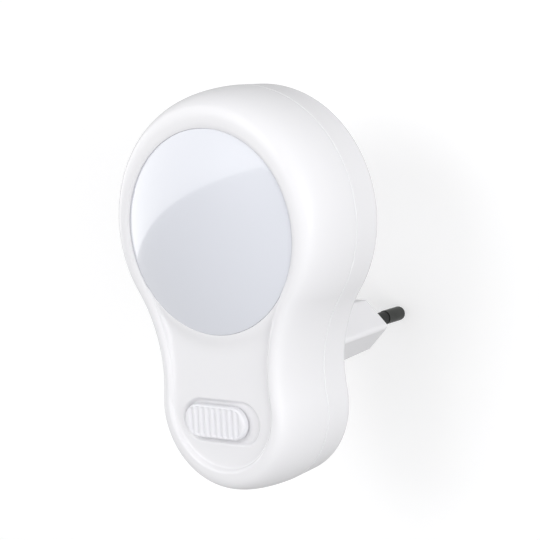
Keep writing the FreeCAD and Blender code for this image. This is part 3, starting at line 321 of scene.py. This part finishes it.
def panelGrid():
    # rows are circular arcs between the two sides, straight beside the switch recess: the heights
    # at the middle and at the ends give each arc's rise, and its curvature follows
    lowest, highest = panel["rows"][0][0], panel["rows"][-1][1]
    middle = np.concatenate([np.linspace(*part)[:-1] for part in panel["rows"]] + [[highest]])
    corner = panelBulb["bottomZ"] - panelBulb["bottom"] * math.sqrt(0.5)
    cuspZ = panelBulb["topZ"] + panelBulb["top"] * math.sin(panelBulb["topTurn"])
    ends = np.interp(middle, (lowest, *panel["straight"], highest),
                     (corner, *panel["straight"], cuspZ))
    _, first, _, last = panelBulb["marks"]
    lengths = np.linspace(first, last, panel["outlineSteps"])
    heights = outlineAt(panelBulb, lengths)[0][:, 1]
    along = np.interp(-ends, -heights, lengths)
    along[0], along[-1] = last - panelBulb["bottom"] * math.pi / 4, first
    edge = outlineAt(panelBulb, along)[0]
    half, ends = edge[:, 0], edge[:, 1]
    rise = ends - middle
    curve = np.maximum(2 * rise / (rise ** 2 + half ** 2), panel["leastCurve"])
    swing = np.arcsin(half * curve)
    inner = np.linspace(0, 1, panel["innerColumns"])
    outer = 1 - (1 - np.linspace(0, 1, panel["outerColumns"])) ** panel["outerCrowding"]
    share = np.minimum(panel["innerHalf"] / half, panel["innerMost"])[:, None]
    right = np.concatenate([share * inner, share + (1 - share) * outer[None, 1:]], axis=1)
    spread = np.concatenate([-right[:, :0:-1], right], axis=1)
    turn = spread * swing[:, None]
    x = np.sin(turn) / curve[:, None]
    z = ends[:, None] - (np.cos(turn) - np.cos(swing)[:, None]) / curve[:, None]
    return x, z, along, spread[0] * math.pi / 4


def pushed(x, z, amount):
    # away from the lens axis, most at the hole's edge
    far = np.hypot(x, z - panelBulb["topZ"])
    fading = np.exp(-np.maximum(far - panel["lensRadius"], 0) / housing["pushReach"])
    grown = 1 + amount * fading / far
    return x * grown, panelBulb["topZ"] + (z - panelBulb["topZ"]) * grown


def makeFrontShell(material):
    # outer skin: each section runs from the seam to the rim as depth = D * (1 - sqrt(1 - f^4)),
    # f being the share of the way from the panel's outline to the seam's
    x, z, sideAlong, bottomTurns = panelGrid()
    rows, columns = x.shape
    crest, inner, wall = (housing[key] for key in ("crest", "innerFace", "wall"))
    bottomAlong = panelBulb["marks"][3] - panelBulb["bottom"] * np.abs(bottomTurns)
    bottomAlong = np.where(bottomTurns < 0, -bottomAlong, bottomAlong)
    over = np.linspace(-panelBulb["marks"][1], panelBulb["marks"][1], housing["overColumns"])
    loop = np.concatenate([sideAlong[::-1], bottomAlong[::-1][1:], -sideAlong[1:], over[1:-1]])
    loops = len(loop)
    toSeam = np.polyfit(panelBulb["marks"], seamBulb["marks"], 3)
    seamAlong = np.sign(loop) * np.polyval(toSeam, np.abs(loop))
    inside, _ = outlineAt(panelBulb, loop)
    outside, outward = outlineAt(seamBulb, seamAlong)
    reach = outside - inside
    width = np.hypot(reach[:, 0], reach[:, 1])[:, None]

    seamTurn = np.linspace(0, quarter, housing["seamRows"])[:-1]
    seamInset = housing["seamRound"] * (1 - np.sin(seamTurn))
    seamDepth = crest - housing["seam"] - housing["seamRound"] * (1 - np.cos(seamTurn))
    fullDepth = crest - housing["seam"] - housing["seamRound"]
    share = 1 - (1 - np.linspace(1, 0, housing["sectionRows"])) ** 2
    rimDepth = rimDepthAt(inside[:, 1])
    rimShare = np.interp(inside[:, 1], housing["rimSpan"], housing["rimWidth"]) / width[:, 0]
    share = rimShare[None, :] + (1 - rimShare)[None, :] * share[:, None]
    rolled = np.linspace(0, 1, housing["rollRows"])[1:, None]
    rimStart = fullDepth * (1 - np.sqrt(1 - rimShare[None] ** 4))

    skin = [outside[None] - outward[None] * seamInset[:, None, None],
            inside[None] + reach[None] * share[:, :, None],
            inside[None] + reach[None] * (rimShare[None] * (1 - rolled))[:, :, None]]
    depths = [np.repeat(seamDepth[:, None], loops, 1), fullDepth * (1 - np.sqrt(1 - share ** 4)),
              rimDepth[None] * rolled ** housing["rollPower"] + (1 - rolled) * rimStart]
    flat, depth = np.concatenate(skin), np.concatenate(depths)
    # the lining keeps a wall's width inside, with a squarer section
    lining = [outside[None] - outward[None] * np.full((len(seamInset), 1, 1), wall),
              inside[None] + (reach - outward * wall)[None] * share[:, :, None],
              skin[2]]
    liningDepths = [depths[0], inner + (fullDepth - inner) * (1 - np.sqrt(1 - share ** 8)),
                    np.full_like(depths[2], inner)]
    liningFlat, liningDepth = np.concatenate(lining), np.concatenate(liningDepths)

    # the panel's patch takes its border from the rim's last row
    patchDepth = panelDepth(x, z)
    edgeRow = flat[-1]
    side = np.arange(rows)
    x[::-1, -1], z[::-1, -1] = edgeRow[side, 0], edgeRow[side, 1]
    x[0, ::-1], z[0, ::-1] = (edgeRow[rows - 1:rows + columns - 1, k] for k in (0, 1))
    x[:, 0], z[:, 0] = (edgeRow[rows + columns - 2:2 * rows + columns - 2, k] for k in (0, 1))
    for border in ((slice(None), 0), (slice(None), -1), (0, slice(None))):
        patchDepth[border] = rimDepthAt(z[border])

    # the hole's wall goes down from the rim's arch and the patch's last row
    start = 2 * rows + columns - 3
    archX = np.concatenate([edgeRow[start:, 0], edgeRow[:1, 0], x[-1, ::-1][1:-1]])
    archZ = np.concatenate([edgeRow[start:, 1], edgeRow[:1, 1], z[-1, ::-1][1:-1]])
    archDepth = np.concatenate([rimDepth[start:], rimDepth[:1], patchDepth[-1, ::-1][1:-1]])
    holeRows, push = housing["holeRows"], housing["liningPush"]
    down = np.linspace(0, 1, holeRows)[:, None]
    holeDepth = archDepth[None] * (1 - down) + (inner - housing["holeLap"]) * down
    liningX, liningZ = pushed(liningFlat[..., 0], liningFlat[..., 1], push)
    backX, backZ = pushed(x, z, push)
    holeX, holeZ = pushed(np.repeat(archX[None], holeRows, 0), np.repeat(archZ[None], holeRows, 0),
                          push - housing["holePush"] * down)
    outer = [placed(flat[..., 0], crest - depth, flat[..., 1]), placed(x, crest - patchDepth, z),
             placed(archX[None], crest - holeDepth, archZ[None])]
    liner = [placed(liningX, crest - liningDepth, liningZ), placed(backX, crest - inner, backZ),
             placed(holeX, crest - inner, holeZ)]
    sizes = [grid.shape[0] * grid.shape[1] for grid in outer]
    points = np.concatenate([grid.reshape(-1, 3) for grid in outer])
    linerPoints = np.concatenate([grid.reshape(-1, 3) for grid in liner])
    patchFaces = gridFaces(rows, columns, sizes[0])
    middle = points[patchFaces].mean(axis=1)
    inSlot = ((np.abs(middle[:, 0]) < panel["slotHalf"][0])
              & (np.abs(middle[:, 2] - panel["slotZ"]) < panel["slotHalf"][1]))
    faces = np.concatenate([gridFaces(outer[0].shape[0], loops, closed=True),
                            patchFaces[~inSlot][:, ::-1],
                            gridFaces(holeRows, len(archX), sizes[0] + sizes[1], closed=True)])
    first, faces = welded(points, faces)
    points, linerPoints = points[first], linerPoints[first]
    rims = openEdges(faces)
    count = len(points)
    walls = np.stack([rims[:, 1], rims[:, 0], rims[:, 0] + count, rims[:, 1] + count], axis=-1)
    allFaces = np.concatenate([faces, faces[:, ::-1] + count, walls])
    makePiece("housing_front", np.concatenate([points, linerPoints]), allFaces, material,
              "housing", ["front_shell"])


makeFrontShell(housingWhite)


# Lens

lens = {
    "radius": 26.6,
    "dome": 5.0,                # in front of the crest
    "drop": 0.55,               # from the crest back to the lens edge
    "wall": 1.6,
    "edgeRound": 0.12,
    "edgeSpan": (0.25, 1),      # in quarter turns
    "edgeRows": 5,
    "flange": 1.6,
    "flangeThickness": 1.2,
    "capRows": 60,
    "innerRows": 30,
    "segments": 240,
}


def arcThrough(apex, foot, radius, count):
    # forward distance and radius along a cap of a sphere, from the apex to the foot
    height = apex - foot
    ball = (radius ** 2 + height ** 2) / (2 * height)
    turn = np.linspace(0, math.asin(radius / ball), count)
    return apex - ball * (1 - np.cos(turn)), ball * np.sin(turn)


def makeLens(material):
    # a profile of (forward, radius) turned round the lens axis
    crest, inner = housing["crest"], housing["crest"] - housing["innerFace"]
    size, edge, thick = lens["radius"], lens["edgeRound"], lens["wall"]
    foot = crest - lens["drop"]
    outerForward, outerRadius = arcThrough(crest + lens["dome"], foot, size, lens["capRows"])
    keep = outerRadius < size - edge
    turn = np.linspace(*lens["edgeSpan"], lens["edgeRows"]) * quarter
    innerForward, innerRadius = arcThrough(crest + lens["dome"] - thick, foot - thick,
                                           size - thick, lens["innerRows"])
    flangeBack = inner - lens["flangeThickness"]
    forward = np.concatenate([outerForward[keep], foot - edge + edge * np.cos(turn),
                              [inner, inner, flangeBack, flangeBack], innerForward[::-1]])
    radius = np.concatenate([outerRadius[keep], size - edge + edge * np.sin(turn),
                             [size, size + lens["flange"], size + lens["flange"], size - thick],
                             innerRadius[::-1]])
    around = np.linspace(0, 2 * math.pi, lens["segments"], endpoint=False)
    points = placed(radius[:, None] * np.sin(around), forward[:, None],
                    panelBulb["topZ"] + radius[:, None] * np.cos(around)).reshape(-1, 3)
    first, faces = welded(points, gridFaces(len(radius), lens["segments"], closed=True))
    makePiece("lens_opal", points[first], faces, material,
              "housing", ["lens_dome"])


makeLens(opalLens)


# Switch knob

knob = {
    "x": -2.3,
    "z": -17.15,
    "halfFlat": 5.6,
    "radius": 4.4,
    "base": 51.25,              # forward of the contact face, as are the face and the stem's end
    "face": 53.2,
    "round": 0.8,
    "underRound": 0.15,
    "ribPitch": 1.9,
    "ribs": 10,
    "ribDepth": 0.55,
    "ribPower": 1.3,
    "ribLean": 1.5,             # degrees
    "border": 0.4125,
    "borderFade": 0.5,
    "stem": (-1.5, -16.7),
    "stemHalf": (3.2, 1.8),
    "stemEnd": 45.6,
    "stemLap": 0.3,
    "flatColumns": 72,
    "bendColumns": 64,
    "edgeRows": 8,
    "faceRows": 26,
}


def slotLoop(straight, bend):
    # points round a slot shape of unit radius: how far along its spine, and the way out from it
    side = np.linspace(-1, 1, straight, endpoint=False)
    turn = np.linspace(quarter, -quarter, bend, endpoint=False)
    spine = np.concatenate([side, np.ones(bend), -side, -np.ones(bend)])
    angle = np.concatenate([np.full(straight, quarter), turn,
                            np.full(straight, -quarter), turn + math.pi])
    return spine, np.stack([np.cos(angle), np.sin(angle)], axis=-1)


def makeKnob(material):
    # loops of a slot shape, from the middle of the underside round the edge to the middle of the
    # face, where a cosine across the knob makes the ribs, faded out at the border
    spine, way = slotLoop(knob["flatColumns"], knob["bendColumns"])
    radius, edge = knob["radius"], knob["round"]
    base, face = knob["base"], knob["face"]
    turn = np.linspace(0, quarter, knob["edgeRows"])
    # from the middle of the underside out to the foot of the edge, then over it to the face
    underInset = [radius, knob["underRound"], 0, 0]
    underLevel = [base, base, base + knob["underRound"], face - edge]
    inset = np.concatenate([underInset, edge * (1 - np.cos(turn))[1:],
                            np.linspace(edge, radius, knob["faceRows"])[1:]])
    level = np.concatenate([underLevel, face - edge + edge * np.sin(turn)[1:],
                            np.full(knob["faceRows"] - 1, face)])
    x = spine * knob["halfFlat"] + (radius - inset)[:, None] * way[None, :, 0]
    z = (radius - inset)[:, None] * way[None, :, 1]
    leaning = x - z * math.tan(math.radians(knob["ribLean"]))
    wave = 0.5 + 0.5 * np.cos(2 * math.pi * leaning / knob["ribPitch"])
    wave = np.where(np.abs(leaning) < knob["ribPitch"] * (knob["ribs"] / 2 - 0.5), wave, 0)
    fade = eased(np.clip((inset - knob["border"]) / knob["borderFade"], 0, 1)[:, None])
    onFace = (np.arange(len(inset)) >= len(underInset))[:, None]
    ribbing = knob["ribDepth"] * wave ** knob["ribPower"] * fade
    forward = level[:, None] - np.where(onFace, ribbing, 0)
    top = placed(knob["x"] + x, forward, knob["z"] + z)
    halfX, halfZ = knob["stemHalf"]
    ring = np.array([[-halfX, -halfZ], [halfX, -halfZ], [halfX, halfZ], [-halfX, halfZ]])
    scale = np.array([0, 1, 1, 0])[:, None]
    stemTop = base + knob["stemLap"]
    ends = np.array([knob["stemEnd"], knob["stemEnd"], stemTop, stemTop])[:, None]
    stemX, stemZ = knob["stem"]
    stem = placed(stemX + ring[None, :, 0] * scale, ends, stemZ + ring[None, :, 1] * scale)
    points = np.concatenate([top.reshape(-1, 3), stem.reshape(-1, 3)])
    rows, columns = top.shape[:2]
    faces = np.concatenate([gridFaces(rows, columns, closed=True),
                            gridFaces(len(ends), len(ring), rows * columns, closed=True)])
    first, faces = welded(points, faces)
    makePiece("knob_slide", points[first], faces, material,
              "switch", ["switch_knob"])


makeKnob(knobWhite)


# CAD nodes that stay

# slot: name, colour, second shade, changes
plainLooks = {
    "inner_white": ("dishWhite", (0.88, 0.88, 0.86), (0.86, 0.86, 0.83), {"rough": (0.5, 0.6)}),
    "board_laminate": ("boardGreen", (0.05, 0.16, 0.07), (0.04, 0.13, 0.06), {"rough": (0.35, 0.5)}),
    "lamp_epoxy": ("lampClear", (0.85, 0.85, 0.8), (0.82, 0.82, 0.75),
                   {"rough": (0.08, 0.12), "coat": 0.5}),
    "capacitor_case": ("filmCase", (0.62, 0.32, 0.04), (0.56, 0.28, 0.03), {"rough": (0.35, 0.5)}),
    "capacitor_can": ("canSleeve", (0.02, 0.03, 0.05), (0.015, 0.02, 0.04), {"rough": (0.25, 0.35)}),
    "diode_epoxy": ("diodeBlack", (0.03, 0.03, 0.03), (0.02, 0.02, 0.02), {"rough": (0.45, 0.6)}),
    "resistor_coat": ("resistorBlue", (0.25, 0.42, 0.5), (0.2, 0.37, 0.45), {"rough": (0.25, 0.4)}),
    "fuse_coat": ("fuseGreen", (0.16, 0.22, 0.18), (0.13, 0.19, 0.15), {"rough": (0.3, 0.45)}),
    "pin_metal": ("pinMetal", (0.14, 0.145, 0.14), (0.11, 0.115, 0.11),
                  {"grain": 1500, "rough": (0.2, 0.3), "metal": 1.0}),
    "sleeve_black": ("sleeveBlack", (0.02, 0.021, 0.021), (0.015, 0.016, 0.016),
                     {"rough": (0.35, 0.45)}),
    "carrier_grey": ("carrierGrey", (0.26, 0.27, 0.27), (0.23, 0.24, 0.24), {"rough": (0.45, 0.6)}),
    "contact_brass": ("contactBrass", (0.72, 0.52, 0.2), (0.66, 0.47, 0.18),
                      {"rough": (0.2, 0.32), "metal": 1.0}),
    "lever_black": ("leverBlack", (0.03, 0.03, 0.03), (0.02, 0.02, 0.02), {"rough": (0.4, 0.5)}),
    "switch_steel": ("switchSteel", (0.6, 0.6, 0.61), (0.55, 0.55, 0.56),
                     {"rough": (0.25, 0.38), "metal": 1.0}),
    "switch_phenolic": ("phenolicBrown", (0.2, 0.09, 0.04), (0.16, 0.07, 0.03),
                        {"rough": (0.5, 0.6)}),
    "screw_steel": ("screwSteel", (0.55, 0.55, 0.56), (0.5, 0.5, 0.51),
                    {"rough": (0.25, 0.4), "metal": 1.0}),
}
plain = {slot: makeFinish(name, colour, shade, **changes)
         for slot, (name, colour, shade, changes) in plainLooks.items()}
plain["housing_plastic"] = housingWhite
for node in frame["nodes"].values():
    for index, old in enumerate(list(node.data.materials)):
        if old.name in plain:
            node.data.materials[index] = plain[old.name]
print("materials set")


# Stage, light and camera

view = {
    "azimuth": 38.14,           # degrees, as are elevation and roll
    "elevation": 8.31,
    "roll": 3.76,
    "target": (0, -53.4, 32.6),
    "distance": 483.4,
    "right": 15.43,             # sideways from the target
    "up": -10.48,
    "lens": 126.67,
    "sensor": 36,
    "clip": (0.01, 20),         # metres
}


def makeCamera():
    azimuth, elevation, roll = (math.radians(view[key]) for key in ("azimuth", "elevation", "roll"))
    right = Vector((math.cos(azimuth), math.sin(azimuth), 0))
    back = Vector((math.sin(azimuth) * math.cos(elevation),
                   -math.cos(azimuth) * math.cos(elevation), math.sin(elevation)))
    up = back.cross(right)
    place = (Vector(view["target"]) + right * view["right"] + up * view["up"]
             + back * view["distance"])
    axes = (right * math.cos(roll) - up * math.sin(roll),
            right * math.sin(roll) + up * math.cos(roll), back)
    data = bpy.data.cameras.new("camera")
    data.lens, data.sensor_width = view["lens"], view["sensor"]
    data.clip_start, data.clip_end = view["clip"]
    camera = bpy.data.objects.new("camera", data)
    camera.matrix_world = Matrix.Translation(place * mm) @ Matrix(axes).transposed().to_4x4()
    bpy.context.scene.collection.objects.link(camera)
    bpy.context.scene.camera = camera


# Rectangles of light, in metres. "hidden" is the kind of ray that doesn't see a lamp: the first
# four light the object, and the last two only show in its gloss.
lamps = {
    "keyFront": {"centre": (-0.12, -0.68, 0.26), "target": (0, -0.05, 0.02),
                 "size": (0.42, 0.34), "radiance": 2.5, "hidden": "glossy"},
    "topSoft": {"centre": (0.1, -0.1, 0.8), "target": (0, -0.03, 0.02),
                "size": (0.7, 0.7), "radiance": 0.2, "hidden": "glossy"},
    "rightHigh": {"centre": (0.75, -0.2, 0.3), "target": (0, -0.03, 0.02),
                  "size": (0.6, 0.6), "radiance": 1.15, "hidden": "glossy"},
    "rightLow": {"centre": (0.72, -0.35, -0.22), "target": (0, -0.03, 0.02),
                 "size": (0.6, 0.5), "radiance": 1.9, "hidden": "glossy"},
    "lensGlow": {"centre": (-0.666, -0.442, 0.485), "target": (0.054, 0.238, 0.365),
                 "size": (2.2, 0.8), "radiance": 1.5, "hidden": "diffuse",
                 "upright": (-0.224, 0.396, 0.891)},
    "sideGlow": {"centre": (0.77, -0.25, 0.18), "target": (0, -0.03, 0.02),
                 "size": (0.25, 0.4), "radiance": 2.0, "hidden": "diffuse"},
}


def softbox(name, lamp):
    # its power is the radiance times pi times its area
    width, height = lamp["size"]
    data = bpy.data.lights.new(name, "AREA")
    data.shape, data.size, data.size_y = "RECTANGLE", width, height
    data.energy = lamp["radiance"] * math.pi * width * height
    box = bpy.data.objects.new(name, data)
    away = (Vector(lamp["centre"]) - Vector(lamp["target"])).normalized()
    side = Vector(lamp.get("upright", (0, 0, 1))).cross(away).normalized()
    axes = (side, away.cross(side), away)
    box.matrix_world = Matrix.Translation(lamp["centre"]) @ Matrix(axes).transposed().to_4x4()
    setattr(box, "visible_" + lamp["hidden"], False)
    bpy.context.scene.collection.objects.link(box)


# metres; "lit" is the share of the wall's white that light and shadow change
wall = {"y": 0.02, "half": 2, "paint": 0.92, "own": 1.85, "lit": 0.8}


def makeWall():
    # its white is partly its own, so that it keeps a soft shadow; seen from behind it is clear
    y, half = wall["y"], wall["half"]
    mesh = bpy.data.meshes.new("wall")
    corners = [(-half, y, -half), (half, y, -half), (half, y, half), (-half, y, half)]
    mesh.from_pydata(corners, [], [(0, 1, 2, 3)])
    material = bpy.data.materials.new("wall")
    material.use_nodes = True
    tree = material.node_tree
    tree.nodes.clear()
    output = addNode(tree, "OutputMaterial")
    paint = addNode(tree, "BsdfDiffuse", {"Color": (wall["paint"], wall["paint"], wall["paint"], 1)})
    own = addNode(tree, "Emission", {"Color": (1, 1, 1, 1), "Strength": wall["own"]})
    clear = addNode(tree, "BsdfTransparent")
    mixed, sided = addNode(tree, "MixShader", {"Fac": wall["lit"]}), addNode(tree, "MixShader")
    facing = addNode(tree, "NewGeometry")
    link = tree.links.new
    link(own.outputs[0], mixed.inputs[1])
    link(paint.outputs[0], mixed.inputs[2])
    link(facing.outputs["Backfacing"], sided.inputs[0])
    link(mixed.outputs[0], sided.inputs[1])
    link(clear.outputs[0], sided.inputs[2])
    link(sided.outputs[0], output.inputs["Surface"])
    mesh.materials.append(material)
    plane = bpy.data.objects.new("wall", mesh)
    bpy.context.scene.collection.objects.link(plane)
    for ray in ("diffuse", "glossy", "transmission", "volume_scatter", "shadow"):
        setattr(plane, "visible_" + ray, False)


sky = {
    # place from straight below to straight above, and level
    "levels": ((0.0, 0.5), (0.25, 0.25), (0.5, 1.15), (0.75, 0.40), (1.0, 0.78)),
    "blueness": 1.01,
    "greySpan": (0.1, 0.8),     # towards the back
    "greyLevels": (1.0, 0.45),
}


def makeWorld():
    # white to the camera; reflections see it greyer towards the back, which draws the silhouette;
    # the light on the object depends on the height that it comes from
    world = bpy.data.worlds.new("studio")
    world.use_nodes = True
    tree = world.node_tree
    tree.nodes.clear()
    output = addNode(tree, "OutputWorld")
    where = addNode(tree, "TexCoord")
    split = addNode(tree, "SeparateXYZ")
    ramp = addNode(tree, "ValToRGB")
    height = addNode(tree, "MapRange", {"From Min": -1, "From Max": 1})
    elements = ramp.color_ramp.elements
    while len(elements) < len(sky["levels"]):
        elements.new(0.5)
    for element, (place, level) in zip(elements, sky["levels"]):
        element.position, element.color = place, (level, level, level * sky["blueness"], 1)
    light = addNode(tree, "Background", {"Strength": 1})
    white = addNode(tree, "Background", {"Color": (1, 1, 1, 1), "Strength": 1})
    grey = addNode(tree, "Background", {"Color": (1, 1, 1, 1)})
    depth = addNode(tree, "MapRange", {"From Min": sky["greySpan"][0], "From Max": sky["greySpan"][1],
                                       "To Min": sky["greyLevels"][0],
                                       "To Max": sky["greyLevels"][1]})
    toCamera, toGloss = addNode(tree, "MixShader"), addNode(tree, "MixShader")
    rays = addNode(tree, "LightPath")
    link = tree.links.new
    link(where.outputs["Generated"], split.inputs[0])
    link(split.outputs["Z"], height.inputs[0])
    link(height.outputs[0], ramp.inputs[0])
    link(ramp.outputs[0], light.inputs[0])
    link(split.outputs["Y"], depth.inputs[0])
    link(depth.outputs[0], grey.inputs["Strength"])
    link(rays.outputs["Is Glossy Ray"], toGloss.inputs[0])
    link(light.outputs[0], toGloss.inputs[1])
    link(grey.outputs[0], toGloss.inputs[2])
    link(rays.outputs["Is Camera Ray"], toCamera.inputs[0])
    link(toGloss.outputs[0], toCamera.inputs[1])
    link(white.outputs[0], toCamera.inputs[2])
    link(toCamera.outputs[0], output.inputs["Surface"])
    bpy.context.scene.world = world


makeCamera()
makeWorld()
for name, lamp in lamps.items():
    softbox(name, lamp)
makeWall()
bpy.context.scene.view_settings.view_transform = "Standard"
print("stage, light and camera set")
